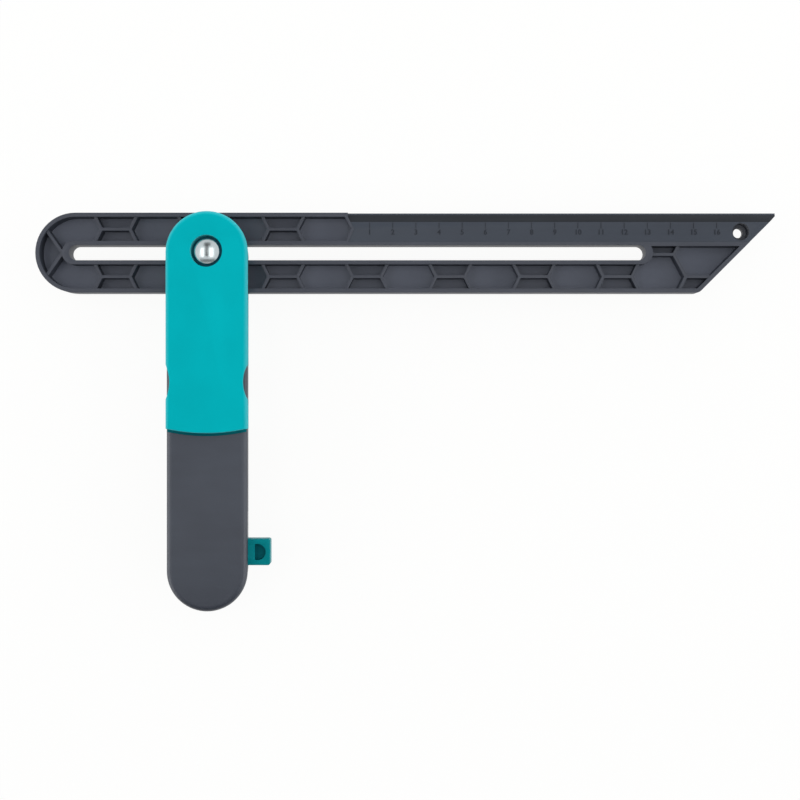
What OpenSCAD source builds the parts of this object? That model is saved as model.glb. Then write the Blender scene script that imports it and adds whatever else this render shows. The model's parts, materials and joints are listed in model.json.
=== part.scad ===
// Sliding t-bevel: a ribbed, slotted blade that turns and slides in a two-cheek handle.
// A cam lever at the butt pushes a rod and a wedge, which draw the pivot bolt down and lock it.
// Millimetres. The pivot axis is Z, and the tool lies on the plane Z = 0.
// +X runs along the blade to its slanted tip, and the handle runs along -Y.

/* [Blade] */
// Length from the round end to the tip
blade_len = 320; // [270:1:420]
// Width over the two long edges
blade_w = 34.5; // [32:0.1:35.2]
// Thickness
blade_t = 8; // [7:0.1:10]
// Distance from the round end to the pivot, as the blade is set
blade_set = 74.8; // [50:0.1:200]
// Slant of the tip, from the long edges
tip_angle = 45; // [40:1:55]
// Height of the tip's blunt end
tip_blunt = 1.2; // [0.4:0.1:3]
// Radius of the corner under the slant
heel_r = 3; // [1:0.1:6]
// Width of the slot
slot_w = 6.6; // [6:0.05:8]
// Distance from the round end to the slot
slot_start = 14.5; // [12:0.1:20]
// Distance from the slot to the tip
slot_end = 56.3; // [53:0.1:70]

/* [Blade ribs] */
// Width of the rims round the outline and the slot
rim_w = 1.75; // [1.2:0.05:2.4]
// How much wider the rim is at the slot's two ends
slot_pad = 1.3; // [0:0.1:2]
// Width of the ribs
rib_w = 1.3; // [0.6:0.05:1.6]
// How far the ribs lie below the rims
rib_drop = 1; // [0.2:0.05:1.5]
// Floor left under the pockets
floor_t = 1.2; // [0.8:0.1:2.5]
// Length of one cell of the honeycomb, with its waist
cell_pitch = 36.2; // [30:0.1:44]
// Length of the waist between two cells
cell_waist = 12.4; // [8:0.1:18]
// How far the ends of a bent rib lean from its knee
rib_lean = 2.6; // [1:0.1:4]
// Distance from the round end to the first knee
first_knee = 28.3; // [26:0.1:40]
// Angle of the round end's two ribs
end_rib_angle = 55; // [40:1:65]
// Distance from the slot to the bent rib near the tip
web_gap = 12.3; // [10:0.1:13]
// How far the foot of that rib leans towards the tip
web_lean = 5.2; // [3:0.1:7]
// How far its head leans towards the tip
web_head = 1.8; // [0.5:0.1:3]

/* [Ruler] */
// Number of cells before the ruler begins
plain_cells = 3; // [1:1:4]
// Depth of the ruler's face under the rims
ruler_drop = 0.5; // [0.2:0.05:1.5]
// Width of the rim between the ruler's face and the slot
ruler_rim = 1.3; // [0.8:0.1:2.5]
// Width of the bevel
bevel_w = 3.3; // [1.5:0.1:5]
// Depth of the bevel
bevel_h = 2; // [0.8:0.1:3]
// Width of the flat land along the edge
land_w = 0.7; // [0.3:0.1:1.5]

/* [Hang hole] */
// Radius of the hole
hang_r = 2.1; // [1.5:0.1:3]
// Radius of the counterbore
hang_bore_r = 3.7; // [3.3:0.1:4.2]
// Thickness of the wall that the hole goes through
hang_wall = 2.5; // [1.5:0.1:4]
// Distance from the tip to the hole, along the blade
hang_from_tip = 15.2; // [14.5:0.1:30]
// Distance from the ruler's edge to the hole
hang_from_edge = 8.2; // [8:0.1:9.5]

/* [Handle] */
// Distance from the pivot to the centre of the butt's curve
butt_reach = 137; // [134:0.1:160]
// Distance from the pivot to the centre of the head's curve
head_set = 0.4; // [0:0.1:1.5]
// Half width over the grips, where the lines of the sides meet the front face
grip_half = 17.8; // [17.6:0.1:20.5]
// How far the grips' sides stand out from the grey bodies'
grip_side = 0.05; // [0:0.05:0.6]
// Angle at which all the sides draw in towards the back
side_draft = 6; // [3:0.5:6.5]
// Distance from the pivot to the end of the grips
grip_reach = 77.9; // [72:0.1:90]
// Thickness of the grips on their faces
grip_t = 1.6; // [1.2:0.1:1.8]
// Thickness of the grips on their sides
grip_wall = 1.2; // [0.9:0.1:1.4]
// Rounding of the grips' curved ends
end_round = 0.6; // [0.3:0.1:0.8]
// Width of the groove between the grips' ends and the bodies
seam_w = 1.2; // [0.3:0.1:1.4]
// Depth of that groove, from the bodies' faces
seam_depth = 1.4; // [0.5:0.1:1.4]
// How far the grips stand above the bodies
grip_proud = 0.9; // [0.4:0.1:1.1]
// Rounding of the bodies' front edge
body_round = 2.8; // [1:0.1:4]
// Rounding of the bodies' back edge
back_round = 1.5; // [0.8:0.1:2]
// Rounding of the grips' outer edges
grip_round = 2; // [1.2:0.1:3]
// Height of the back cheek, up to the blade's gap
back_h = 10.2; // [10.1:0.1:13]
// Height of the front cheek, from the gap up
front_h = 6.7; // [6.2:0.1:9]
// Clearance on each side of the blade
blade_clear = 0.3; // [0.2:0.05:0.6]
// Distance from the pivot to the middle of the side windows
window_reach = 56; // [45:0.1:62]
// Length of the side windows
window_len = 15.5; // [10:0.1:20]

/* [Pivot] */
// Radius of the bolt's shank
bolt_r = 2.5; // [2:0.1:2.7]
// Radius of the bolt's head
head_r = 5.35; // [4.5:0.05:5.8]
// Height of the head's straight rim
head_rim = 2; // [0.5:0.1:2.2]
// Height of the head's dome
head_dome = 1.2; // [0.8:0.1:3]
// Radius of the recess round the head
recess_r = 6.85; // [6.4:0.05:8]
// Wall left under the recess
recess_wall = 1.8; // [1.2:0.1:2.5]
// Thickness of the washer under the head
washer_t = 0.8; // [0.4:0.1:1.2]
// Length of the key in the blade's slot
block_len = 12; // [9:0.1:20]

/* [Lever] */
// Distance from the centre of the butt's curve to the lever's pin
lever_inset = 7.6; // [5.7:0.1:8.7]
// Distance from the pin to the end of the lever
lever_len = 26.5; // [24:0.1:32]
// Width of the lever
lever_w = 11.3; // [10:0.1:12]
// Thickness of the lever's tab
tab_t = 6.6; // [5:0.1:7]
// Radius of the tab's corners
tab_round = 0.9; // [0.5:0.1:2]
// Radius of the fingernail recess
nail_r = 3.55; // [2.5:0.05:4.5]
// Distance from the recess to the end of the lever
nail_edge = 1.9; // [1.2:0.1:4]
// Length of the recess along the lever
nail_len = 4.7; // [3:0.1:4.9]
// Depth of the recess
nail_depth = 3; // [1:0.1:4]
// Radius of the lever's pin
pin_r = 2; // [1.5:0.1:2.4]
// Radius of the cam with the lever out
cam_low_r = 6; // [5.6:0.1:6.2]
// How far the cam pushes the rod
cam_throw = 2; // [1:0.1:2.2]
// Height of the cam
cam_h = 4; // [3.6:0.1:4.4]

/* [Lock] */
// Radius of the rod
rod_r = 1.5; // [1.2:0.1:1.6]
// Rise of the wedge for each millimetre of travel
wedge_slope = 0.15; // [0.08:0.01:0.18]
// Thickness of the wedge over the bolt
wedge_mid = 1.8; // [1.6:0.1:2]
// Radius of the spring's wire
wire_r = 0.3; // [0.2:0.02:0.32]
// Number of the spring's turns
spring_turns = 8; // [4:1:9]
// Length of the spring
spring_len = 16.6; // [14:0.1:20]
// Thickness of the back liner
liner_t = 1.5; // [1:0.1:1.6]
// Thickness of the wear plate
wear_t = 0.6; // [0.4:0.05:0.7]

/* [Screws] */
// Radius of the body screws
screw_r = 1.5; // [1.2:0.1:1.7]
// Radius of the body screws' heads
screw_head_r = 2.6; // [2.2:0.1:2.8]
// Height of the body screws' heads
screw_head_h = 2.2; // [1.5:0.1:2.4]
// Radius of the liner's screws
liner_screw_r = 1; // [0.7:0.1:1.1]
// Radius of the liner's screws' heads
liner_head_r = 2; // [1.6:0.1:2.1]

/* [Hidden] */
$fn = 64;

// Overrun of cuts past the faces that they open
over = 1;
// Clearance of a running fit, and of pieces that are seated in each other
fit = 0.04;
bond = 0.03;
// Gap between pieces that press on each other only when the lever is closed
touch = 0.1;
// Clearance between pieces that move past each other
free = 0.3;

// Levels, from the back face up
gap_low = back_h;
blade_low = gap_low + blade_clear;
blade_high = blade_low + blade_t;
gap_high = blade_high + blade_clear;
grip_high = gap_high + front_h;
body_half = grip_half - grip_side;
body_low = grip_proud;
body_high = grip_high - grip_proud;
core_low = grip_t;
core_high = grip_high - grip_t;
core_half = grip_half - grip_wall;
core_round = grip_round / 2;
seam_floor = body_high - seam_depth;
seam_roof = body_low + seam_depth;
recess_floor = gap_high + recess_wall;

// Places along and across the blade
blade_half = blade_w / 2;
slot_half = slot_w / 2;
x_left = -blade_set;
x_tip = blade_len - blade_set;
x_round = x_left + blade_half;
slot_x0 = x_left + slot_start;
slot_x1 = x_tip - slot_end;
band_mid = (blade_half + slot_half) / 2;
pocket_half = (blade_half - slot_half) / 2 - rim_w;
knee_x0 = x_left + first_knee;
cells = floor((slot_x1 - knee_x0 - cell_waist) / cell_pitch);

// The slanted tip: its run for each millimetre of width, its lower corner and the rounding there
slant_run = 1 / tan(tip_angle);
slant_rim = rim_w / sin(tip_angle);
heel_x = x_tip - (blade_w - tip_blunt) * slant_run;
heel_cut = heel_r * tan(tip_angle / 2);

// The ruler's face and the bent rib by the tip
ruler_x = knee_x0 + plain_cells * cell_pitch;
ruler_low = slot_half + ruler_rim;
ruler_high = blade_half - land_w - bevel_w;
shelf_y = ruler_low - rim_w;
web_x = slot_x1 + web_gap;
web_y = -rib_w / 2;
hang_at = [x_tip - hang_from_tip, blade_half - hang_from_edge];

// The lock's levels: nut, wedge, wear plate and liner, and the rod among them
rod_wall = 0.45;
liner_low = gap_low - liner_t;
wear_high = liner_low - bond;
wear_low = wear_high - wear_t;
wedge_high = wear_low - touch;
wedge_under = wedge_high - wedge_mid;
wedge_low = wedge_high - 2 * (rod_r + rod_wall);
channel_low = wedge_low - 2 * free;
rod_z = (wedge_low + wedge_high) / 2;
nut_drop = cam_throw * wedge_slope;
nut_low = channel_low - touch;
nut_well = nut_low - nut_drop - touch;
bolt_high = recess_floor + washer_t + nut_drop + touch;

// The wedge and the nut, with the lever swung out
prong_half = 6;
prong_tip = 7;
prong_root = -8;
prong_slot = bolt_r + free;
wedge_tail = -22;
wedge_socket = 8;
nut_half_x = 5.2;
nut_half_y = 4.6;
mech_half = prong_half + free;
mech_tip = prong_tip + cam_throw + 2 * free;
mech_tail = wedge_tail - cam_throw;

// The lever's pin, hub and cam
lever_y = lever_inset - butt_reach;
hub_r = lever_w / 2;
tab_mid = (gap_low + gap_high) / 2;
cam_low = wedge_low;
cam_way = cam_low_r + cam_throw + 2 * free;
cam_floor = cam_low - free;
cam_steps = 12;
cam_back_angle = 30;
pin_foot = 1.6;
pin_head = 3.2;
pin_low = cam_floor - pin_foot;
pin_high = gap_high + pin_head;

// The rod's nose, collar and spring
nose_wall = 0.9;
nose_len = 6.8;
nose_socket = 4;
nose_r = rod_r + nose_wall;
nose_tip = lever_y + cam_low_r + free;
collar_t = 1.2;
collar_r = nose_r;
collar_y = nose_tip + nose_len + cam_throw;
spring_clear = 0.25;
spring_mid_r = rod_r + wire_r + spring_clear;
spring_y = collar_y + collar_t + bond;
ledge_y = spring_y + spring_len + bond;
spring_way = collar_r + free;
spring_floor = rod_z - spring_way;
rod_way = rod_r + free;

// The spacer that joins the cheeks: a wall across the handle and one down its left side
spacer_wall = 11.3;
spacer_low = lever_y + hub_r + free;
spacer_top = spacer_low + spacer_wall;
spacer_side = -hub_r - free;

// The back liner, seated in the tray's edge
tray_wall = 2.2;
liner_half = side_at(core_half, liner_low) - tray_wall;
liner_end = lever_y + cam_way + free;

// The liner's screws
liner_screw_top = 19;
liner_screw_low = 64;
liner_screw_len = 5.4;
liner_screw_x = (mech_half + liner_half) / 2;
liner_head_h = liner_head_r - liner_screw_r;
liner_screw_tip = gap_low - liner_screw_len;
liner_screw_at = [
    for (side = [-1, 1], y = [-liner_screw_top, -liner_screw_low])
        [side * liner_screw_x, y]
];

// The body screws: two in the spacer's cross wall and two round the butt's centre
cross_screw_x = 9;
butt_screw_share = 0.62;
butt_screw_angles = [178, 218];
head_clear = 0.2;
screw_bite = 3.2;
screw_seat = body_low + screw_head_h + 2 * free;
screw_tip = gap_high + screw_bite;
screw_socket = screw_head_r / 2;
cross_screw_y = (spacer_top + spacer_low) / 2;
butt_screw_r = butt_screw_share * body_half;
body_screw_at = [
    [-cross_screw_x, cross_screw_y],
    [cross_screw_x, cross_screw_y],
    for (angle = butt_screw_angles)
        [butt_screw_r * cos(angle), butt_screw_r * sin(angle) - butt_reach]
];

// The side windows: how far they cut in past the core's line, and their inner places
window_root = 0.2;
window_front = side_at(core_half, gap_high) - window_root;
window_back = side_at(core_half, core_low + core_round) - window_root;

// Colours
c_grey = [0.30, 0.31, 0.34];
c_blade = [0.27, 0.28, 0.31];
c_teal = [0.01, 0.66, 0.70];
c_steel = [0.75, 0.77, 0.78];
c_brass = [0.70, 0.60, 0.35];

// A block between two x, two y and two z values
module block(x, y, z) {
    translate([x[0], y[0], z[0]])
        cube([x[1] - x[0], y[1] - y[0], z[1] - z[0]]);
}

// An upright cylinder at a place, between two levels
module post(at, r, z) {
    translate([at[0], at[1], z[0]])
        cylinder(r = r, h = z[1] - z[0]);
}

// A cylinder along Y on the rod's line, between two places
module rod_piece(r, y) {
    translate([0, y[1], rod_z])
        rotate([90, 0, 0])
            cylinder(r = r, h = y[1] - y[0]);
}

// Half width at a level, of a side that draws in towards the back
function side_at(half, z) = half - (grip_high - z) * tan(side_draft);

// What rounds an outer corner of a section. Side is 1 for an upper corner and -1 for a lower one.
module corner_cut(corner, r, side) {
    centre = corner - [r / tan((90 - side * side_draft) / 2), side * r];
    difference() {
        polygon([
            centre,
            [centre[0], corner[1] + side * over],
            corner + [over, side * over],
            centre + (r + over) * [cos(side_draft), -sin(side_draft)]
        ]);
        translate(centre)
            circle(r);
    }
}

// Half the section of a bar, from its middle out. The low or the high outer corner is rounded.
module half_section(half, low, high, round_low, round_high) {
    foot = [side_at(half, low), low];
    top = [side_at(half, high), high];
    difference() {
        polygon([[0, low], foot, top, [0, high]]);
        if (round_low > 0)
            corner_cut(foot, round_low, -1);
        if (round_high > 0)
            corner_cut(top, round_high, 1);
    }
}

// A bar with two round ends, from the head to the butt
module bar(half, low, high, round_low, round_high) {
    translate([0, -head_set, 0]) {
        rotate([90, 0, 0])
            linear_extrude(butt_reach - head_set) {
                half_section(half, low, high, round_low, round_high);
                mirror([1, 0])
                    half_section(half, low, high, round_low, round_high);
            }
        rotate_extrude(angle = 180)
            half_section(half, low, high, round_low, round_high);
    }
    translate([0, -butt_reach, 0])
        rotate([0, 0, 180])
            rotate_extrude(angle = 180)
                half_section(half, low, high, round_low, round_high);
}

// The round zone about the pivot that the grips cover
module grip_zone(grow) {
    post([0, 0], grip_reach + grow, [-over, grip_high + over], $fn = 128);
}

// The groove in a body's face, along the end of its grip
module seam(z) {
    difference() {
        post([0, 0], grip_reach + seam_w, z, $fn = 128);
        post([0, 0], grip_reach, [z[0] - over, z[1] + over], $fn = 128);
    }
}

// What rounds the curved end of a grip. Side is 1 at the front face and -1 at the back face.
module end_cut(level, side) {
    centre = [grip_reach - end_round, level - side * end_round];
    rotate_extrude($fn = 128)
        difference() {
            polygon([
                centre,
                [centre[0], level + side * over],
                [grip_reach + over, level + side * over],
                [grip_reach + over, centre[1]]
            ]);
            translate(centre)
                circle(end_round, $fn = 64);
        }
}

// The lens-shaped windows in a grip's two sides, which the grey body fills
module side_windows(outer, inner, grow) {
    half_len = window_len / 2;
    depth = outer - inner;
    r = (half_len * half_len + depth * depth) / (2 * depth);
    for (side = [-1, 1])
        post([side * (inner + r), -window_reach], r + grow, [-over, grip_high + over]);
}

module front_windows(grow) {
    side_windows(side_at(grip_half, grip_high - grip_round), window_front, grow);
}

module back_windows(grow) {
    side_windows(side_at(grip_half, grip_round), window_back, grow);
}

// The blade's outline
module blade_outline() {
    translate([x_round, 0])
        circle(blade_half, $fn = 96);
    translate([heel_x - heel_cut, heel_r - blade_half])
        circle(heel_r);
    polygon([
        [x_round, -blade_half],
        [heel_x - heel_cut, -blade_half],
        [heel_x + heel_cut * cos(tip_angle), heel_cut * sin(tip_angle) - blade_half],
        [x_tip, blade_half - tip_blunt],
        [x_tip, blade_half],
        [x_round, blade_half]
    ]);
}

// The slot, widened by a rim and by more at its two ends
module slot_outline(rim, pad) {
    r = slot_half + rim;
    x = [slot_x0 + slot_half - pad, slot_x1 - slot_half + pad];
    for (end = x)
        translate([end, 0])
            circle(r);
    translate([x[0], -r])
        square([x[1] - x[0], 2 * r]);
}

// A straight rib between two points
module rib(from, to) {
    way = to - from;
    translate(from)
        rotate(atan2(way[1], way[0]))
            translate([-rib_w / 2, -rib_w / 2])
                square([norm(way) + rib_w, rib_w]);
}

// A rib bent at its knee, across a band of pockets; its ends lean to -X, or to +X with side -1
module bent_rib(side) {
    for (end = [-1, 1])
        rib([0, 0], [-side * rib_lean, end * pocket_half]);
}

// The honeycomb of both bands, the round end's two ribs and the ribs by the tip
module blade_ribs() {
    for (band = [-1, 1], k = [0:cells])
        translate([knee_x0 + k * cell_pitch, band * band_mid]) {
            bent_rib(1);
            rib([0, 0], [cell_waist, 0]);
            translate([cell_waist, 0])
                bent_rib(-1);
        }
    fork = [slot_x0 - rim_w - slot_pad, 0];
    for (side = [-1, 1])
        rib(fork, fork + slot_start * [-cos(end_rib_angle), side * sin(end_rib_angle)]);
    knee = [web_x + web_lean, -band_mid];
    rib([web_x + web_head, shelf_y], [web_x, web_y]);
    rib([web_x, web_y], knee);
    rib(knee, knee - [rib_lean, pocket_half]);
    rib([slot_x1, web_y], [web_x, web_y]);
    rib(knee, [x_tip, -band_mid]);
}

// A plan view of the ruler's stretch, from its bent rib to past the tip
module ruler_plan(shift, low) {
    polygon([
        [ruler_x + shift - rib_lean, low],
        [ruler_x + shift, band_mid],
        [ruler_x + shift - rib_lean, band_mid + pocket_half],
        [ruler_x + shift - rib_lean, blade_half + over],
        [x_tip + over, blade_half + over],
        [x_tip + over, low]
    ]);
}

// The area of the pockets, inside the rims
module pocket_area() {
    in_half = blade_half - rim_w;
    difference() {
        union() {
            translate([x_round, 0])
                circle(in_half, $fn = 96);
            polygon([
                [x_round, -in_half],
                [heel_x + rim_w * slant_run - slant_rim, -in_half],
                [heel_x + (blade_w - rim_w) * slant_run - slant_rim, in_half],
                [x_round, in_half]
            ]);
        }
        slot_outline(rim_w, slot_pad);
        ruler_plan(-rib_w / 2, shelf_y);
    }
}

// What the ruler's face, bevel and land take off the top of the blade
module ruler_cut() {
    intersection() {
        translate([0, 0, blade_low])
            linear_extrude(blade_t + over)
                ruler_plan(rib_w / 2, ruler_low);
        translate([x_round, 0, blade_high])
            rotate([90, 0, 90])
                linear_extrude(blade_len)
                    polygon([
                        [ruler_low - over, over],
                        [ruler_low - over, -ruler_drop],
                        [ruler_high, -ruler_drop],
                        [ruler_high + bevel_w, -ruler_drop - bevel_h],
                        [blade_half + over, -ruler_drop - bevel_h],
                        [blade_half + over, over]
                    ]);
    }
}

module blade() {
    color(c_blade)
        difference() {
            translate([0, 0, blade_low])
                linear_extrude(blade_t)
                    blade_outline();
            translate([0, 0, blade_low - over])
                linear_extrude(blade_t + 2 * over)
                    slot_outline(0, 0);
            translate([0, 0, blade_high - rib_drop])
                linear_extrude(rib_drop + over)
                    pocket_area();
            translate([0, 0, blade_low + floor_t])
                linear_extrude(blade_t)
                    difference() {
                        pocket_area();
                        blade_ribs();
                    }
            ruler_cut();
            post(hang_at, hang_r, [blade_low - over, blade_high + over]);
            post(hang_at, hang_bore_r, [blade_low + hang_wall, blade_high + over]);
        }
}

// The key that runs in the slot, round at its ends as the slot is, and turns on the bolt
module slot_block() {
    z = [blade_low + touch, blade_high - touch];
    r = slot_half - fit;
    straight = block_len / 2 - r;
    color(c_brass)
        difference() {
            union() {
                block([-straight, straight], [-r, r], z);
                for (side = [-1, 1])
                    post([side * straight, 0], r, z);
            }
            post([0, 0], bolt_r + fit, [blade_low - over, blade_high + over]);
        }
}

module front_body() {
    color(c_grey)
        difference() {
            union() {
                bar(core_half, gap_high, core_high, 0, core_round);
                intersection() {
                    bar(body_half, gap_high, body_high, 0, body_round);
                    front_windows(-bond);
                }
                difference() {
                    bar(body_half, gap_low, body_high, 0, body_round);
                    grip_zone(bond);
                    block([-2 * body_half, 2 * body_half], [spacer_top, 0], [gap_low - over, gap_high]);
                    block(
                        [spacer_side, 2 * body_half],
                        [-butt_reach - 2 * body_half, spacer_low],
                        [gap_low - over, gap_high]
                    );
                }
            }
            seam([seam_floor, grip_high]);
            post([0, 0], recess_r, [recess_floor, grip_high]);
            post([0, 0], bolt_r + fit, [gap_high - over, grip_high]);
            post([0, lever_y], pin_r + fit, [gap_high - over, pin_high + bond]);
            for (at = body_screw_at)
                post(at, screw_r + fit, [gap_low - over, screw_tip + free]);
        }
}

// The plate's outline, grown by a clearance
module liner_shape(grow, z) {
    half = liner_half + grow;
    post([0, 0], half, z);
    block([-half, half], [liner_end - grow, 0], z);
}

module back_body() {
    top = gap_low + over;
    color(c_grey)
        difference() {
            union() {
                bar(core_half, core_low, gap_low, core_round, 0);
                intersection() {
                    bar(body_half, body_low, gap_low, back_round, 0);
                    back_windows(-bond);
                }
                difference() {
                    bar(body_half, body_low, gap_low, back_round, 0);
                    grip_zone(bond);
                }
            }
            seam([0, seam_roof]);
            liner_shape(bond, [liner_low, top]);
            block([-mech_half, mech_half], [mech_tail, mech_tip], [channel_low, top]);
            block(
                [-nut_half_x - free, nut_half_x + free],
                [-nut_half_y - free, nut_half_y + free],
                [nut_well, top]
            );
            block([-rod_way, rod_way], [ledge_y - over, mech_tail + over], [rod_z - rod_way, top]);
            block([-spring_way, spring_way], [nose_tip, ledge_y], [spring_floor, liner_low + over]);
            post([0, lever_y], cam_way, [cam_floor, top]);
            post([0, lever_y], pin_r + fit, [pin_low - bond, top]);
            for (at = liner_screw_at)
                post(at, liner_screw_r + fit, [liner_screw_tip - free, top]);
            for (at = body_screw_at) {
                post(at, screw_r + head_clear, [0, top]);
                post(at, screw_head_r + head_clear, [0, screw_seat]);
            }
        }
}

module back_liner() {
    color(c_blade)
        difference() {
            liner_shape(0, [liner_low, gap_low]);
            post([0, 0], bolt_r + fit, [liner_low - over, gap_low + over]);
            for (at = body_screw_at)
                if (at[1] > spacer_low)
                    post(at, screw_r + head_clear, [liner_low - over, gap_low + over]);
            for (at = liner_screw_at) {
                post(at, liner_screw_r + fit, [liner_low - over, gap_low + over]);
                translate([at[0], at[1], gap_low - liner_head_h])
                    cylinder(r1 = liner_screw_r + fit, r2 = liner_head_r + fit, h = liner_head_h);
            }
        }
}

module front_grip() {
    color(c_teal)
        difference() {
            intersection() {
                bar(grip_half, gap_high, grip_high, 0, grip_round);
                grip_zone(0);
            }
            bar(core_half + bond, gap_high - over, core_high + bond, 0, core_round);
            end_cut(grip_high, 1);
            post([0, 0], recess_r, [gap_high, grip_high + over]);
            front_windows(0);
        }
}

module back_grip() {
    color(c_teal)
        difference() {
            intersection() {
                bar(grip_half, 0, gap_low, grip_round, 0);
                grip_zone(0);
            }
            bar(core_half + bond, core_low - bond, gap_low + over, core_round, 0);
            end_cut(0, -1);
            back_windows(0);
        }
}

module head_washer() {
    color(c_steel)
        difference() {
            post([0, 0], recess_r - free, [recess_floor, recess_floor + washer_t]);
            post([0, 0], bolt_r + fit, [recess_floor - over, recess_floor + washer_t + over]);
        }
}

// A shank with a low rim and a polished dome
module pivot_bolt() {
    dome_r = (head_r * head_r + head_dome * head_dome) / (2 * head_dome);
    color(c_steel) {
        post([0, 0], bolt_r, [nut_low, bolt_high + over]);
        post([0, 0], head_r, [bolt_high, bolt_high + head_rim]);
        intersection() {
            translate([0, 0, bolt_high + head_rim + head_dome - dome_r])
                sphere(dome_r);
            post([0, 0], head_r, [bolt_high + head_rim, bolt_high + head_rim + 2 * head_dome]);
        }
    }
}

// A square nut whose top slopes like the wedge
module clamp_nut() {
    color(c_steel)
        difference() {
            translate([-nut_half_x, 0, 0])
                rotate([90, 0, 90])
                    linear_extrude(2 * nut_half_x)
                        polygon([
                            [-nut_half_y, nut_low],
                            [nut_half_y, nut_low],
                            [nut_half_y, wedge_under - touch + wedge_slope * nut_half_y],
                            [-nut_half_y, wedge_under - touch - wedge_slope * nut_half_y]
                        ]);
            post([0, 0], bolt_r + fit, [nut_low - over, wedge_high]);
        }
}

module wear_plate() {
    half = mech_half - bond;
    color(c_steel)
        difference() {
            block([-half, half], [prong_root, mech_tip - bond], [wear_low, wear_high]);
            post([0, 0], bolt_r + free, [wear_low - over, wear_high + over]);
        }
}

// A forked wedge, thin at its prongs' tips, with a socket for the rod
module wedge_fork() {
    color(c_steel)
        difference() {
            translate([-prong_half, 0, 0])
                rotate([90, 0, 90])
                    linear_extrude(2 * prong_half)
                        polygon([
                            [wedge_tail, wedge_low],
                            [prong_root, wedge_low],
                            [prong_root, wedge_under + wedge_slope * prong_root],
                            [prong_tip, wedge_under + wedge_slope * prong_tip],
                            [prong_tip, wedge_high],
                            [wedge_tail, wedge_high]
                        ]);
            post([0, -cam_throw - free], prong_slot, [wedge_low - over, wedge_high + over]);
            block(
                [-prong_slot, prong_slot],
                [-cam_throw - free, prong_tip + over],
                [wedge_low - over, wedge_high + over]
            );
            rod_piece(rod_r + fit, [wedge_tail - over, wedge_tail + wedge_socket]);
        }
}

module lock_rod() {
    color(c_steel)
        rod_piece(rod_r, [nose_tip + nose_len - nose_socket, wedge_tail + wedge_socket - bond]);
}

module spring_collar() {
    color(c_steel)
        difference() {
            rod_piece(collar_r, [collar_y, collar_y + collar_t]);
            rod_piece(rod_r + fit, [collar_y - over, collar_y + collar_t + over]);
        }
}

// One unbroken wound wire round the rod
module return_spring() {
    sides = 6;
    rings_per_turn = 12;
    rings = rings_per_turn * spring_turns;
    rise = (spring_len - 2 * wire_r) / rings;
    points = [
        for (i = [0:rings], j = [0:sides - 1])
            let(
                a = 360 * i / rings_per_turn,
                b = 360 * j / sides,
                r = spring_mid_r + wire_r * cos(b)
            )
            [r * cos(a), spring_y + wire_r + rise * i + wire_r * sin(b), rod_z + r * sin(a)]
    ];
    skin = [
        for (i = [0:rings - 1], j = [0:sides - 1])
            let(
                p = i * sides + j,
                q = i * sides + (j + 1) % sides
            )
            each [[p, q, q + sides], [p, q + sides, p + sides]]
    ];
    ends = [
        for (j = [1:sides - 2])
            each [[0, j + 1, j], [rings * sides, rings * sides + j, rings * sides + j + 1]]
    ];
    echo(least_gap_of_spring = rise * rings_per_turn - 2 * wire_r);
    color(c_steel)
        polyhedron(points, concat(skin, ends));
}

// A block on the rod's end, round where it rides on the cam
module follower_nose() {
    z = [cam_low, wedge_high];
    color(c_brass)
        difference() {
            union() {
                post([0, nose_tip + nose_r], nose_r, z);
                block([-nose_r, nose_r], [nose_tip + nose_r, nose_tip + nose_len], z);
            }
            rod_piece(rod_r + fit, [nose_tip + nose_len - nose_socket - bond, nose_tip + nose_len + over]);
        }
}

// The cam's outline: it rises evenly over a quarter turn, then falls back to its base circle
module cam_outline() {
    rise = [
        for (i = [0:cam_steps])
            let(a = 90 + 90 * i / cam_steps, r = cam_low_r + cam_throw * i / cam_steps)
            [r * cos(a), r * sin(a)]
    ];
    last = 180 + cam_back_angle;
    circle(cam_low_r);
    polygon(concat([[0, 0]], rise, [[cam_low_r * cos(last), cam_low_r * sin(last)]]));
}

// The tab's outline, from the pin to its rounded corners
module tab_outline() {
    half = lever_w / 2;
    translate([0, -half])
        square([lever_len - tab_round, lever_w]);
    translate([0, tab_round - half])
        square([lever_len, lever_w - 2 * tab_round]);
    for (side = [-1, 1])
        translate([lever_len - tab_round, side * (half - tab_round)])
            circle(tab_round);
}

module cam_lever() {
    nail_x = lever_len - nail_edge - nail_r;
    color(c_teal)
        translate([0, lever_y, 0])
            difference() {
                union() {
                    translate([0, 0, cam_low])
                        linear_extrude(cam_h)
                            cam_outline();
                    post([0, 0], hub_r, [cam_low, gap_high - free]);
                    translate([0, 0, tab_mid - tab_t / 2])
                        linear_extrude(tab_t)
                            tab_outline();
                }
                post([0, 0], pin_r + fit, [cam_low - over, gap_high]);
                intersection() {
                    post([nail_x, 0], nail_r, [tab_mid + tab_t / 2 - nail_depth, gap_high]);
                    block(
                        [lever_len - nail_edge - nail_len, lever_len],
                        [-lever_w, lever_w],
                        [tab_mid, gap_high + over]
                    );
                }
            }
}

module lever_pin() {
    color(c_steel)
        post([0, lever_y], pin_r, [pin_low, pin_high]);
}

module body_screws() {
    color(c_steel)
        for (at = body_screw_at)
            difference() {
                union() {
                    post(at, screw_head_r, [screw_seat - screw_head_h, screw_seat]);
                    post(at, screw_r, [screw_seat - over, screw_tip]);
                }
                translate([at[0], at[1], 0])
                    cylinder(r = screw_socket, h = screw_seat - screw_head_h / 2, $fn = 6);
            }
}

module liner_screws() {
    color(c_steel)
        for (at = liner_screw_at)
            difference() {
                union() {
                    translate([at[0], at[1], gap_low - liner_head_h])
                        cylinder(r1 = liner_screw_r, r2 = liner_head_r, h = liner_head_h);
                    post(at, liner_screw_r, [liner_screw_tip, gap_low - liner_head_h / 2]);
                }
                translate([at[0], at[1], gap_low - liner_head_h / 2])
                    cylinder(r = liner_screw_r, h = liner_head_h, $fn = 6);
            }
}

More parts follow.
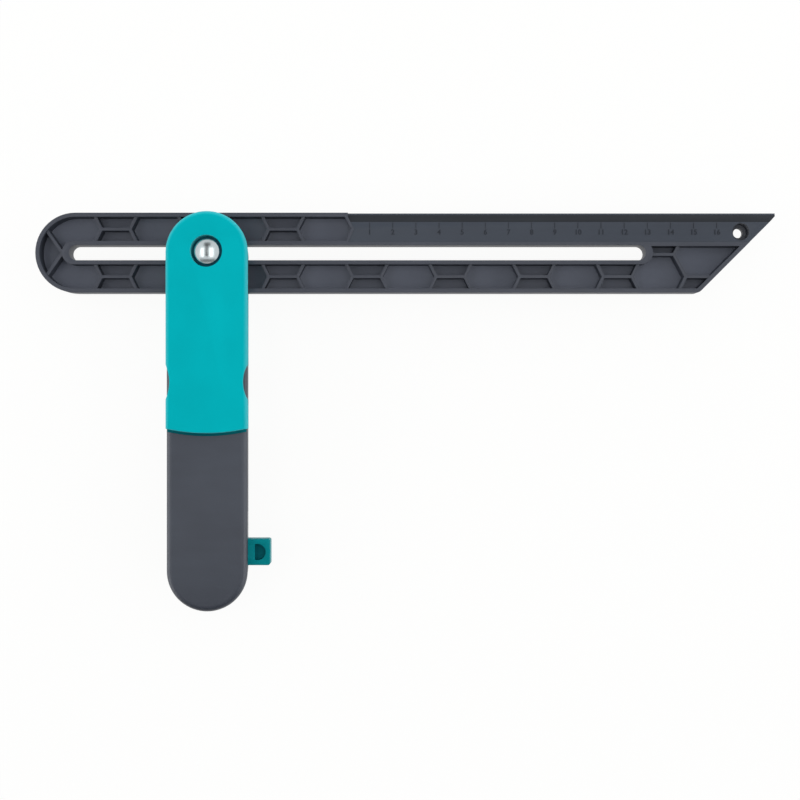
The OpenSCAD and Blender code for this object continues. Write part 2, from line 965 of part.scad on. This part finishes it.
blade();
slot_block();
front_body();
back_body();
back_liner();
front_grip();
back_grip();
head_washer();
pivot_bolt();
clamp_nut();
wear_plate();
wedge_fork();
lock_rod();
spring_collar();
return_spring();
follower_nose();
cam_lever();
lever_pin();
body_screws();
liner_screws();
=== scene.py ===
"""Looks of the sliding t-bevel: rounded edges, ruler marks, finishes, studio and camera.

Metres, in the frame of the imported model: the pivot axis is Z and the tool lies on Z = 0.
"""

import json
from math import hypot, pi, radians

import bpy
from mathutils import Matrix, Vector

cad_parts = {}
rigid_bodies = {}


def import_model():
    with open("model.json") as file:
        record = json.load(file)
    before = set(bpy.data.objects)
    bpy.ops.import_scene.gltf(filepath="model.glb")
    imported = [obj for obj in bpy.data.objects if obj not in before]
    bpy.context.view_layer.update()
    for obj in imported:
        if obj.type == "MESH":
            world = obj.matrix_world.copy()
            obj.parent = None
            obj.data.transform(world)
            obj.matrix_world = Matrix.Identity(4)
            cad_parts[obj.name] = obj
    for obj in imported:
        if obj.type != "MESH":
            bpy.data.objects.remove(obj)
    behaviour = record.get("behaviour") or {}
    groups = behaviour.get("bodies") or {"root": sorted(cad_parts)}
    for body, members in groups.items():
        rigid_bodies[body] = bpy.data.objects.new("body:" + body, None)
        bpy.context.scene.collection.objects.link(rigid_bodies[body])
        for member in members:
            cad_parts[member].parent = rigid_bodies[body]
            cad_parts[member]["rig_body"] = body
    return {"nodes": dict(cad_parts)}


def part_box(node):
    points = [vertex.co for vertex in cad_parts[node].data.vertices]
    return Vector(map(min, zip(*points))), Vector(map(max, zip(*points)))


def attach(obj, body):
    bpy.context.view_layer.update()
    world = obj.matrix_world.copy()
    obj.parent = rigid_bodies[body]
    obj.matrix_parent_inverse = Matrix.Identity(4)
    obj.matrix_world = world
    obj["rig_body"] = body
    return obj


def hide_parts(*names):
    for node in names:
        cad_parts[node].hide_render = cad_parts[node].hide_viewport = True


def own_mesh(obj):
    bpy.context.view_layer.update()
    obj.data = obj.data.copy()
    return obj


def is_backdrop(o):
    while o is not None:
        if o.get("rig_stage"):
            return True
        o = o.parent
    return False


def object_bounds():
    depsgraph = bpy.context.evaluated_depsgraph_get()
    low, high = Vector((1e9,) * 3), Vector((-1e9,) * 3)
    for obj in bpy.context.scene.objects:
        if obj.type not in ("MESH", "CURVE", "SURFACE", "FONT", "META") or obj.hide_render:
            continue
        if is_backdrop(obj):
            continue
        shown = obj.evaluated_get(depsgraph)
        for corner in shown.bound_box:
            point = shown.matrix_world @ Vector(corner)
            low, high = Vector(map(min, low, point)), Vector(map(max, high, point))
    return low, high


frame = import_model()
cad_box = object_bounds()

MM = 0.001


# Selecting and shaping


def only(piece):
    """Selects this piece alone and makes it the active one."""
    bpy.ops.object.select_all(action="DESELECT")
    piece.select_set(True)
    bpy.context.view_layer.objects.active = piece


def settle(piece):
    """Puts the piece's place into its mesh, so that its object sits at the origin."""
    only(piece)
    bpy.ops.object.transform_apply(location=True, rotation=True, scale=True)


def apply_all(piece):
    """Applies the piece's modifiers."""
    only(piece)
    for modifier in list(piece.modifiers):
        bpy.ops.object.modifier_apply(modifier=modifier.name)


def joined(pieces, name):
    """Joins pieces into one of that name."""
    bpy.ops.object.select_all(action="DESELECT")
    for piece in pieces:
        piece.select_set(True)
    bpy.context.view_layer.objects.active = pieces[0]
    bpy.ops.object.join()
    whole = bpy.context.view_layer.objects.active
    whole.name = name
    return whole


def wear(piece, look):
    """Gives the piece this finish alone."""
    piece.data.materials.clear()
    piece.data.materials.append(look)


def paint(piece, looks, choose):
    """Adds finishes to the piece's own. choose(piece, face) gives one of them, or None."""
    for look in looks:
        piece.data.materials.append(look)
    for face in piece.data.polygons:
        look = choose(piece, face)
        if look:
            face.material_index = piece.data.materials.find(look.name)


# Finishes. Each pattern has its size across. A stretch is along X, Y and Z, a band is the part of
# a pattern that goes from none to all, and a depth is that of the surface's bump.

TONE_BAND = (0.36, 0.64)
MOULD_CLOUD = 28 * MM
MOULD_FLOW = 6 * MM
MOULD_FLOW_STRETCH = (0.25, 1.0, 1.0)
MOULD_GRAIN = 0.35 * MM
MOULD_PAINTED_WALL_BAND = (0.2, 0.95)
MOULD_DEPTH = 0.012 * MM
RUBBER_GLOSS = 0.58
RUBBER_CLOUD = 22 * MM
RUBBER_SILK = 0.22 * MM
RUBBER_RUB = 9 * MM
RUBBER_RUB_BAND = (0.45, 0.75)
RUBBER_SHEEN_BAND = (0.01, 0.4)
RUBBER_DEPTH = 0.008 * MM
CHROME_GLOSS = 0.17
CHROME_HAZE = 3 * MM
CHROME_HAZE_BAND = (0.4, 0.8)
CHROME_HAIR = 0.12 * MM
CHROME_HAIR_STRETCH = (1.0, 0.15, 1.0)
CHROME_DEPTH = 0.0008 * MM
METAL_STAIN = 5 * MM
METAL_STAIN_BAND = (0.3, 0.7)
METAL_MARKS = 0.15 * MM
METAL_MARKS_STRETCH = (1.0, 0.2, 1.0)
METAL_DEPTH = 0.004 * MM


class Value:
    """A node's output. Arithmetic on it adds Math nodes."""

    def __init__(self, shader, socket):
        self.shader = shader
        self.socket = socket

    def _math(self, operation, *values, clamp=False):
        settings = {"operation": operation, "use_clamp": clamp}
        return self.shader.add("ShaderNodeMath", settings, dict(enumerate(values)))

    def __add__(self, other):
        return self._math("ADD", self, other)

    __radd__ = __add__

    def __sub__(self, other):
        return self._math("SUBTRACT", self, other)

    def __rsub__(self, other):
        return self._math("SUBTRACT", other, self)

    def __mul__(self, other):
        return self._math("MULTIPLY", self, other)

    __rmul__ = __mul__

    def __truediv__(self, other):
        return self._math("DIVIDE", self, other)

    def __abs__(self):
        return self._math("ABSOLUTE", self)

    def clamped(self):
        return self._math("ADD", self, 0.0, clamp=True)

    def at_least(self, other):
        return self._math("MAXIMUM", self, other)

    def between(self, low, high):
        """0 below low, 1 above high, and even in between."""
        return ((self - low) / (high - low)).clamped()

    def swing(self, amount):
        """Noise about zero, this much from its lowest to its highest."""
        return amount * (self - 0.5)


class Shader:
    """A material's or the world's nodes."""

    def __init__(self, owner, output):
        owner.use_nodes = True
        self.tree = owner.node_tree
        self.tree.nodes.clear()
        self.output = self.tree.nodes.new(output)

    def add(self, kind, settings=None, values=None, out=0):
        """Adds a node: its settings first, then its sockets' values or links. Gives one output."""
        node = self.tree.nodes.new(kind)
        for name, value in (settings or {}).items():
            setattr(node, name, value)
        for name, value in (values or {}).items():
            self.feed(node.inputs[name], value)
        return Value(self, node.outputs[out])

    def feed(self, socket, value):
        """Links a Value to the socket, or sets the socket's own value."""
        if isinstance(value, Value):
            self.tree.links.new(value.socket, socket)
        else:
            socket.default_value = value

    def place(self):
        """The point on the object, in metres."""
        return self.add("ShaderNodeTexCoord", out="Object")

    def flatness(self):
        """1 on faces that lie flat and 0 on upright ones."""
        normal = self.add("ShaderNodeTexCoord", out="Normal")
        return abs(self.add("ShaderNodeSeparateXYZ", values={"Vector": normal}, out="Z"))

    def noise(self, grain, detail=2.0, roughness=0.5, stretch=(1.0, 1.0, 1.0)):
        """Noise whose grain is this many metres across."""
        scale = tuple(s / grain for s in stretch)
        mapped = self.add("ShaderNodeMapping", values={"Vector": self.place(), "Scale": scale})
        return self.add(
            "ShaderNodeTexNoise",
            values={"Vector": mapped, "Scale": 1.0, "Detail": detail, "Roughness": roughness},
        )

    def mix(self, share, one, two):
        """A colour between two colours."""
        return self.add(
            "ShaderNodeMix",
            {"data_type": "RGBA"},
            {"Factor": share, "A": rgba(one), "B": rgba(two)},
            out="Result",
        )

    def bump(self, height, depth):
        """A normal from a height of 0 to 1 that stands for this many metres."""
        values = {"Height": height, "Strength": 1.0, "Distance": depth}
        return self.add("ShaderNodeBump", values=values, out="Normal")


def rgba(colour):
    """A colour with its opacity, unless it comes from a node."""
    return colour if isinstance(colour, Value) else (*colour, 1.0)


def linear(red, green, blue):
    """A colour given as 0-255 on screen, in the values that nodes take, by the sRGB curve."""
    scaled = (c / 255 for c in (red, green, blue))
    return tuple(c / 12.92 if c <= 0.04045 else ((c + 0.055) / 1.055) ** 2.4 for c in scaled)


def finish(name, build, **constants):
    """A material. build(shader) gives what changes over the surface, and constants the rest."""
    material = bpy.data.materials.new(name)
    shader = Shader(material, "ShaderNodeOutputMaterial")
    sockets = {key.replace("_", " "): value for key, value in constants.items()}
    sockets.update(build(shader))
    surface = shader.add("ShaderNodeBsdfPrincipled", values=sockets)
    shader.feed(shader.output.inputs["Surface"], surface)
    return material


def moulded(light, dark, gloss, wall_gloss, painted_wall=None):
    """Moulded plastic: a fine spark-eroded grain, faint flow marks, its own gloss on the sides.

    gloss and wall_gloss are the roughness of its flat and upright faces. painted_wall, where
    given, is painted on the upright ones and the other colours on the flat ones, as painted light.
    """

    def build(shader):
        cloud = shader.noise(MOULD_CLOUD, detail=3.0)
        flow = shader.noise(MOULD_FLOW, detail=2.0, stretch=MOULD_FLOW_STRETCH)
        speck = shader.noise(MOULD_GRAIN, detail=3.0, roughness=0.6)
        tone = (cloud * 0.5 + flow * 0.25 + speck * 0.25).between(*TONE_BAND)
        flat = shader.flatness()
        smooth = wall_gloss + (gloss - wall_gloss) * flat
        colour = shader.mix(tone, dark, light)
        # Painted light: flat and upright faces are painted in different colours
        if painted_wall:
            colour = shader.mix(flat.between(*MOULD_PAINTED_WALL_BAND), painted_wall, colour)
        return {
            "Base Color": colour,
            "Roughness": smooth + speck.swing(0.12) + cloud.swing(0.08),
            "Normal": shader.bump(speck, MOULD_DEPTH),
        }

    return build


def soft_touch(light, dark, painted_sheen):
    """Soft grip rubber: a silky grain, rubbed patches that shine more, and painted sheen: its
    rounded edges are paler.
    """

    def build(shader):
        cloud = shader.noise(RUBBER_CLOUD, detail=3.0)
        silk = shader.noise(RUBBER_SILK, detail=2.0, roughness=0.65)
        rubbed = shader.noise(RUBBER_RUB, detail=4.0).between(*RUBBER_RUB_BAND)
        tone = (cloud * 0.7 + silk * 0.3).between(*TONE_BAND)
        # Painted sheen: faces that turn away from flat are mixed towards a paler teal
        sheen_share = (1.0 - shader.flatness()).between(*RUBBER_SHEEN_BAND)
        return {
            "Base Color": shader.mix(sheen_share, shader.mix(tone, dark, light), painted_sheen),
            "Roughness": RUBBER_GLOSS - 0.08 * rubbed + silk.swing(0.1),
            "Normal": shader.bump(silk, RUBBER_DEPTH),
        }

    return build


def polished(light, dark):
    """Chrome with hairline polishing marks and a breath of haze."""

    def build(shader):
        haze = shader.noise(CHROME_HAZE, detail=3.0)
        hair = shader.noise(CHROME_HAIR, detail=2.0, stretch=CHROME_HAIR_STRETCH)
        return {
            "Base Color": shader.mix(haze, dark, light),
            "Roughness": CHROME_GLOSS + 0.06 * haze.between(*CHROME_HAZE_BAND) + 0.03 * hair,
            "Normal": shader.bump(hair, CHROME_DEPTH),
        }

    return build


def turned(light, dark, gloss):
    """Bare metal with the fine marks of turning or milling and a stain here and there."""

    def build(shader):
        stain = shader.noise(METAL_STAIN, detail=4.0)
        marks = shader.noise(METAL_MARKS, detail=2.0, stretch=METAL_MARKS_STRETCH)
        return {
            "Base Color": shader.mix(stain.between(*METAL_STAIN_BAND), dark, light),
            "Roughness": gloss + stain.swing(0.15) + marks.swing(0.1),
            "Normal": shader.bump(marks, METAL_DEPTH),
        }

    return build


blade_nylon = finish(
    "blade_nylon",
    moulded(light=linear(54, 58, 68), dark=linear(46, 50, 59), gloss=0.42, wall_gloss=0.5),
    Specular_IOR_Level=0.5,
)
# Painted light: the pockets' floors are painted far lighter than the blade's nylon, and their
# upright faces in a colour of their own
pocket_painted_light = finish(
    "pocket_painted_light",
    moulded(
        light=linear(86, 91, 103),
        dark=linear(76, 81, 93),
        gloss=0.5,
        wall_gloss=0.5,
        painted_wall=linear(46, 50, 58),
    ),
    Specular_IOR_Level=0.5,
)
# Painted shade: the ruler's bevel is painted darker than the ruler's face
bevel_painted_shade = finish(
    "bevel_painted_shade",
    moulded(light=linear(39, 42, 46), dark=linear(33, 35, 39), gloss=0.5, wall_gloss=0.5),
    Specular_IOR_Level=0.15,
)
# Painted shade: the ruled face is painted darker than the rest of the blade's nylon
ruler_painted_shade = finish(
    "ruler_painted_shade",
    moulded(light=linear(42, 50, 61), dark=linear(36, 43, 54), gloss=0.42, wall_gloss=0.3),
    Specular_IOR_Level=0.5,
)
body_nylon = finish(
    "body_nylon",
    moulded(light=linear(55, 60, 69), dark=linear(47, 51, 60), gloss=0.45, wall_gloss=0.35),
    Specular_IOR_Level=0.5,
)
grip_rubber = finish(
    "grip_rubber",
    soft_touch(light=linear(0, 174, 181), dark=linear(0, 167, 174), painted_sheen=linear(64, 172, 178)),
    Specular_IOR_Level=0.02,
    Sheen_Weight=0.1,
    Sheen_Roughness=0.3,
)
# Painted shade: the lever is painted a darker teal than the grip, as the shade under the handle
lever_teal_painted_shade = finish(
    "lever_teal_painted_shade",
    moulded(light=linear(0, 134, 139), dark=linear(0, 122, 128), gloss=0.4, wall_gloss=0.35),
    Specular_IOR_Level=0.05,
)
# Painted shade: dark teal for the fingernail recess and for the seam at the grip's end
teal_painted_shade = finish(
    "teal_painted_shade",
    moulded(light=linear(0, 110, 118), dark=linear(0, 96, 104), gloss=0.6, wall_gloss=0.6),
    Specular_IOR_Level=0.06,
)
# The moulded ruler marks are coloured darker than the ruler's face
mark_dark = finish(
    "mark_dark",
    moulded(light=linear(36, 40, 48), dark=linear(28, 32, 40), gloss=0.55, wall_gloss=0.55),
    Specular_IOR_Level=0.3,
)
chrome = finish(
    "chrome",
    polished(light=(0.66, 0.72, 0.71), dark=(0.57, 0.63, 0.62)),
    Metallic=1.0,
)
# Painted shade: the washer is painted dark blue-teal, as the shade in the recess round the bolt
# head
washer_painted_shade = finish(
    "washer_painted_shade",
    turned(light=(0.012, 0.08, 0.11), dark=(0.008, 0.05, 0.07), gloss=0.4),
    Metallic=1.0,
)
plain_steel = finish(
    "plain_steel",
    turned(light=(0.62, 0.63, 0.64), dark=(0.46, 0.47, 0.48), gloss=0.34),
    Metallic=1.0,
)
key_brass = finish(
    "key_brass",
    turned(light=(0.72, 0.58, 0.30), dark=(0.58, 0.45, 0.22), gloss=0.32),
    Metallic=1.0,
)


# Copies of the CAD pieces, with their edges rounded

MERGE = 0.002 * MM
FLAT_ANGLE = radians(0.4)
SHARP_ANGLE = radians(32)
SMOOTH_ANGLE = radians(30)
PLAIN_STEPS = 2
FINE_STEPS = 3


def copied(node, look):
    """A copy of a CAD node, merged, which wears this finish and stands for the node."""
    source = frame["nodes"][node]
    piece = source.copy()
    piece.data = source.data.copy()
    piece.name = node + "_finished"
    for key in list(piece.keys()):
        del piece[key]
    piece.parent = None
    bpy.context.scene.collection.objects.link(piece)
    only(piece)
    bpy.ops.mesh.customdata_custom_splitnormals_clear()
    bpy.ops.object.mode_set(mode="EDIT")
    bpy.ops.mesh.select_all(action="SELECT")
    bpy.ops.mesh.remove_doubles(threshold=MERGE)
    bpy.ops.mesh.dissolve_limited(angle_limit=FLAT_ANGLE)
    bpy.ops.object.mode_set(mode="OBJECT")
    wear(piece, look)
    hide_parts(node)
    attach(piece, source["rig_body"])
    return piece


def rounded(node, look, width, steps=PLAIN_STEPS, first=None):
    """A merged copy of a CAD node with its sharp edges rounded.

    first(piece) shapes the copy before all its sharp edges are rounded.
    """
    piece = copied(node, look)
    if first:
        first(piece)
    bevel = piece.modifiers.new("edges", "BEVEL")
    bevel.limit_method = "ANGLE"
    bevel.angle_limit = SHARP_ANGLE
    bevel.width = width
    bevel.segments = steps
    bevel.miter_outer = "MITER_ARC"
    bevel.use_clamp_overlap = True
    bevel.harden_normals = False
    apply_all(piece)
    only(piece)
    bpy.ops.object.shade_smooth_by_angle(angle=SMOOTH_ANGLE)
    return piece


# The blade

BLADE_LOW, BLADE_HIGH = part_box("blade")
RIM_ROUND = 0.6 * MM
BLADE_ROUND = 0.4 * MM
NEAR = 0.05 * MM

# A face whose normal rises less than this is upright
UPRIGHT = 0.5

# The ruled area: its left end, its inner edge, its lowest level, how far its faces look up, and
# how far outwards those of its bevel lean
RULER_START = 62 * MM
RULER_FOOT = 4.9 * MM
RULER_FLOOR = 15.5 * MM
RULER_UP = 0.3
BEVEL_LEAN = 0.04

# A pocket's face: its lowest corner is above the foot, and its middle is under the first limit if
# it is a floor, or under the second if it is a wall
POCKET_FOOT = 11.5 * MM
POCKET_FLOOR = 12 * MM
POCKET_HIGH = 17.9 * MM

# The middle of the hang hole, and the radius inside which a wall belongs to the hole
HOLE_X = 230 * MM
HOLE_Y = 9.05 * MM
HOLE_R = 4 * MM


def round_rim(piece):
    """Rounds the outer edge of the blade's top more than the others."""
    half = BLADE_HIGH[1]
    round_x = BLADE_LOW[0] + half
    only(piece)
    bpy.ops.object.mode_set(mode="EDIT")
    bpy.ops.mesh.select_mode(type="EDGE")
    bpy.ops.mesh.select_all(action="DESELECT")
    bpy.ops.object.mode_set(mode="OBJECT")
    points = piece.data.vertices
    for edge in piece.data.edges:
        ends = [points[i].co for i in edge.vertices]
        edge.select = all(
            p.z > BLADE_HIGH[2] - NEAR
            and (abs(p.y) if p.x > round_x else hypot(p.x - round_x, p.y)) > half - NEAR
            for p in ends
        )
    bpy.ops.object.mode_set(mode="EDIT")
    bpy.ops.mesh.bevel(offset=RIM_ROUND, segments=FINE_STEPS, clamp_overlap=True)
    bpy.ops.object.mode_set(mode="OBJECT")


def blade_look(piece, face):
    """The ruler's face and its bevel are painted darker than the rest of the blade, as shade, and
    the pockets lighter, as light.
    """
    x, y, z = face.center
    lean, up = face.normal.y, face.normal.z
    if x > RULER_START and y > RULER_FOOT and z > RULER_FLOOR and up > RULER_UP:
        return bevel_painted_shade if lean > BEVEL_LEAN else ruler_painted_shade
    foot = min(piece.data.vertices[i].co.z for i in face.vertices)
    top = POCKET_HIGH if abs(up) < UPRIGHT else POCKET_FLOOR
    in_hole = hypot(x - HOLE_X, y - HOLE_Y) <= HOLE_R
    if foot > POCKET_FOOT and z < top and not in_hole:
        return pocket_painted_light
    return None


blade = rounded(
    "blade", blade_nylon, BLADE_ROUND, steps=FINE_STEPS, first=round_rim
)
paint(blade, (pocket_painted_light, ruler_painted_shade, bevel_painted_shade), blade_look)


# The handle. Its front cheek wears rubber in the bolt's recess, and painted shade at the grip's
# end

FRONT_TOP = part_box("front_body")[1][2]
RECESS_R = 7.1 * MM
SEAM_FAR = -81 * MM
SEAM_NEAR = -76 * MM
SEAM_LOW = 2.2 * MM
SEAM_HIGH = 0.5 * MM
FRONT_ROUND = 0.3 * MM
BACK_ROUND = 0.25 * MM
GRIP_ROUND = 0.45 * MM


def front_body_look(_, face):
    """The rubber of the recess under the bolt head, and painted shade in dark teal in the grip's
    seam.
    """
    x, y, z = face.center
    if hypot(x, y) < RECESS_R and z > BLADE_HIGH[2]:
        return grip_rubber
    if SEAM_FAR < y < SEAM_NEAR and FRONT_TOP - SEAM_LOW < z < FRONT_TOP - SEAM_HIGH:
        return teal_painted_shade
    return None


front_body = rounded("front_body", body_nylon, FRONT_ROUND)
paint(front_body, (grip_rubber, teal_painted_shade), front_body_look)
rounded("back_body", body_nylon, BACK_ROUND)
rounded("front_grip", grip_rubber, GRIP_ROUND, steps=FINE_STEPS)
rounded("back_grip", grip_rubber, GRIP_ROUND, steps=FINE_STEPS)


# The lever, and painted shade in its fingernail recess

LEVER_ROUND = 0.3 * MM
NAIL_LOW = (19.7 * MM, -133.2 * MM, 14.4 * MM)
NAIL_HIGH = (24.8 * MM, -125.5 * MM, 17.6 * MM)


def lever_look(_, face):
    """The fingernail recess is painted darker than the rest of the lever, as shade."""
    inside = all(low < c < high for low, c, high in zip(NAIL_LOW, face.center, NAIL_HIGH))
    return teal_painted_shade if inside else None


lever = rounded("cam_lever", lever_teal_painted_shade, LEVER_ROUND, steps=FINE_STEPS)
paint(lever, (teal_painted_shade,), lever_look)


# The return spring and the bare pieces of the lock

SPRING_SMOOTH_ANGLE = radians(50)

spring = copied("return_spring", plain_steel)
only(spring)
bpy.ops.object.shade_smooth_by_angle(angle=SPRING_SMOOTH_ANGLE)
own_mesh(spring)

for node, look in {
    "back_liner": body_nylon,
    "slot_block": key_brass,
    "pivot_bolt": chrome,
    "head_washer": washer_painted_shade,
    "clamp_nut": plain_steel,
    "wear_plate": plain_steel,
    "wedge_fork": plain_steel,
    "lock_rod": plain_steel,
    "spring_collar": plain_steel,
    "follower_nose": key_brass,
    "lever_pin": plain_steel,
    "body_screws": plain_steel,
    "liner_screws": plain_steel,
}.items():
    wear(frame["nodes"][node], look)


# The ruler: a tick and a number at each centimetre, and a short tick by the hang hole

FACE_Z = 18.0 * MM
MARK_H = 0.12 * MM
TICK_TOP = 13.1 * MM
TICK_LEN = 2.6 * MM
TICK_W = 0.32 * MM
TICK_DRAFT = (0.7, 0.94, 1.0)
HOLE_TICK_LEN = 0.35 * MM
FIRST_TICK = 69.6 * MM
LAST_TICK = 229.6 * MM
TICK_STEP = 10 * MM
NUMBER_Y = 8.8 * MM
NUMBER_SIZE = 3.1 * MM
NUMBER_WEIGHT = 0.07 * MM
NUMBER_STEPS = 4


def tick(x, length):
    """A moulded tick with drafted sides, on the ruler's face."""
    bpy.ops.object.select_all(action="DESELECT")
    bpy.ops.mesh.primitive_cube_add(
        size=1,
        location=(x, TICK_TOP - length / 2, FACE_Z + MARK_H / 2),
        scale=(TICK_W, length, MARK_H),
    )
    piece = bpy.context.active_object
    bpy.ops.object.mode_set(mode="EDIT")
    bpy.ops.mesh.select_all(action="DESELECT")
    bpy.ops.mesh.select_mode(type="FACE")
    bpy.ops.object.mode_set(mode="OBJECT")
    for face in piece.data.polygons:
        face.select = face.normal.z > UPRIGHT
    bpy.ops.object.mode_set(mode="EDIT")
    bpy.ops.transform.resize(value=TICK_DRAFT)
    bpy.ops.object.mode_set(mode="OBJECT")
    settle(piece)
    return piece


def number(value, x):
    """A plain raised number, centred under its tick."""
    bpy.ops.object.select_all(action="DESELECT")
    bpy.ops.object.text_add(location=(x, NUMBER_Y, FACE_Z))
    piece = bpy.context.active_object
    piece.data.body = str(value)
    piece.data.size = NUMBER_SIZE
    piece.data.align_x = "CENTER"
    piece.data.align_y = "CENTER"
    piece.data.extrude = MARK_H / 2
    piece.data.offset = NUMBER_WEIGHT
    piece.data.resolution_u = NUMBER_STEPS
    piece.location.z += MARK_H / 2
    only(piece)
    bpy.ops.object.convert(target="MESH")
    settle(bpy.context.active_object)
    return bpy.context.active_object


marks = []
count = round((LAST_TICK - FIRST_TICK) / TICK_STEP)
for k in range(count):
    x = FIRST_TICK + k * TICK_STEP
    marks.append(tick(x, TICK_LEN))
    marks.append(number(k + 1, x))
marks.append(tick(FIRST_TICK + count * TICK_STEP, HOLE_TICK_LEN))
ruler_marks = joined(marks, "ruler_marks")
wear(ruler_marks, mark_dark)
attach(ruler_marks, "blade")


# The studio: a pale floor, black flags and lamps that the bolt head reflects, and the camera

CAMERA_X = 82.7 * MM
CAMERA_Y = -63.65 * MM
CAMERA_Z = 568 * MM
BLADE_TOP = 18.5 * MM
FIELD = 345.4 * MM
FLOOR_Z = -0.2 * MM
FLOOR_SIDE = 14
FLOOR_COLOUR = (0.9, 0.9, 0.895, 1.0)
FLOOR_SEEN_COLOUR = (1.0, 1.0, 0.993, 1.0)
FLOOR_SEEN_SHARE = 0.93
SKY_COLOUR = (0.93, 0.95, 1.0, 1.0)
SKY_STRENGTH = 0.88
UNTURNED = (0, 0, 0)
TURNED_OVER = (pi, 0, 0)
QUARTER = pi / 2


def floor_finish():
    """Pale to the light of the object, and plain white to the camera, metal and glass."""
    material = bpy.data.materials.new("studio_floor")
    shader = Shader(material, "ShaderNodeOutputMaterial")
    diffuse = shader.add("ShaderNodeBsdfDiffuse", values={"Color": FLOOR_COLOUR})
    glow = shader.add(
        "ShaderNodeEmission", values={"Color": FLOOR_SEEN_COLOUR, "Strength": 1.0}
    )
    seen = shader.add("ShaderNodeLightPath", out="Is Camera Ray")
    path = seen.socket.node
    for kind in ("Is Glossy Ray", "Is Transmission Ray"):
        seen = seen.at_least(Value(shader, path.outputs[kind]))
    surface = shader.add(
        "ShaderNodeMixShader", values={0: seen * FLOOR_SEEN_SHARE, 1: diffuse, 2: glow}
    )
    shader.feed(shader.output.inputs["Surface"], surface)
    return material


def flag_finish(grey):
    """A plain matt grey."""
    material = bpy.data.materials.new("studio_flag")
    shader = Shader(material, "ShaderNodeOutputMaterial")
    surface = shader.add("ShaderNodeBsdfDiffuse", values={"Color": (grey, grey, grey, 1.0)})
    shader.feed(shader.output.inputs["Surface"], surface)
    return material


def card(name, size, place, turn, material):
    """A flat stage card, such as the floor or a black flag."""
    bpy.ops.object.select_all(action="DESELECT")
    bpy.ops.mesh.primitive_plane_add(size=1, location=place, rotation=turn)
    piece = bpy.context.active_object
    piece.scale = (size[0], size[1], 1)
    piece.name = name
    wear(piece, material)
    piece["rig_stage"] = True
    return piece


def softbox(name, place, turn, size, radiance):
    """A rectangular lamp. It faces down before it is turned, with its first size along X."""
    lamp = bpy.data.lights.new(name, "AREA")
    lamp.shape = "RECTANGLE"
    lamp.size, lamp.size_y = size
    lamp.energy = radiance * pi * size[0] * size[1]
    box = bpy.data.objects.new(name, lamp)
    bpy.context.scene.collection.objects.link(box)
    box.location = place
    box.rotation_euler = turn
    box.visible_camera = False


card(
    "studio_floor",
    (FLOOR_SIDE, FLOOR_SIDE),
    (CAMERA_X, CAMERA_Y, FLOOR_Z),
    UNTURNED,
    floor_finish(),
)

# Each flag's grey, size, place and turn
for name, grey, size, place, turn in (
    ("flag_overhead", 0.08, (0.25, 1.2), (-0.125, 0.32, 1.12), TURNED_OVER),
    ("flag_head", 0.16, (0.58, 0.4), (-0.125, 0.76, 1.13), TURNED_OVER),
    ("flag_low", 0.14, (1.5, 0.34), (-0.125, -0.72, 1.13), TURNED_OVER),
    ("flag_front", 0.02, (2.6, 0.95), (CAMERA_X, CAMERA_Y - 1.1, 0.48), (QUARTER, 0, 0)),
):
    card(name, size, place, turn, flag_finish(grey)).visible_camera = False

# Each lamp's place, turn, size and radiance
for name, place, turn, size, radiance in (
    ("softbox_left", (-0.51, 0.03, 1.1), UNTURNED, (0.31, 0.73), 1.4),
    ("softbox_right", (0.23, 0.03, 1.1), UNTURNED, (0.325, 0.73), 1.4),
    ("panel_left", (CAMERA_X - 1.15, CAMERA_Y, 0.3), (0, -QUARTER, 0), (0.6, 1.8), 2.2),
    ("panel_right", (CAMERA_X + 1.15, CAMERA_Y, 0.46), (0, QUARTER, 0), (0.9, 1.8), 1.7),
    ("panel_back", (CAMERA_X, CAMERA_Y + 1.2, 0.2), (-QUARTER, 0, 0), (1.8, 0.4), 2.2),
):
    softbox(name, place, turn, size, radiance)

world = bpy.data.worlds.new("studio")
bpy.context.scene.world = world
sky = Shader(world, "ShaderNodeOutputWorld")
sky_light = sky.add(
    "ShaderNodeBackground", values={"Color": SKY_COLOUR, "Strength": SKY_STRENGTH}
)
sky.feed(sky.output.inputs["Surface"], sky_light)

camera = bpy.data.cameras.new("camera")
camera.sensor_width = 36
camera.lens = camera.sensor_width / 2 * (CAMERA_Z - BLADE_TOP) / (FIELD / 2)
camera_object = bpy.data.objects.new("camera", camera)
camera_object.location = (CAMERA_X, CAMERA_Y, CAMERA_Z)
bpy.context.scene.collection.objects.link(camera_object)
bpy.context.scene.camera = camera_object
bpy.context.scene.view_settings.view_transform = "Standard"

size = {"cad": [list(c) for c in cad_box], "visual": [list(c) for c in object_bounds()]}
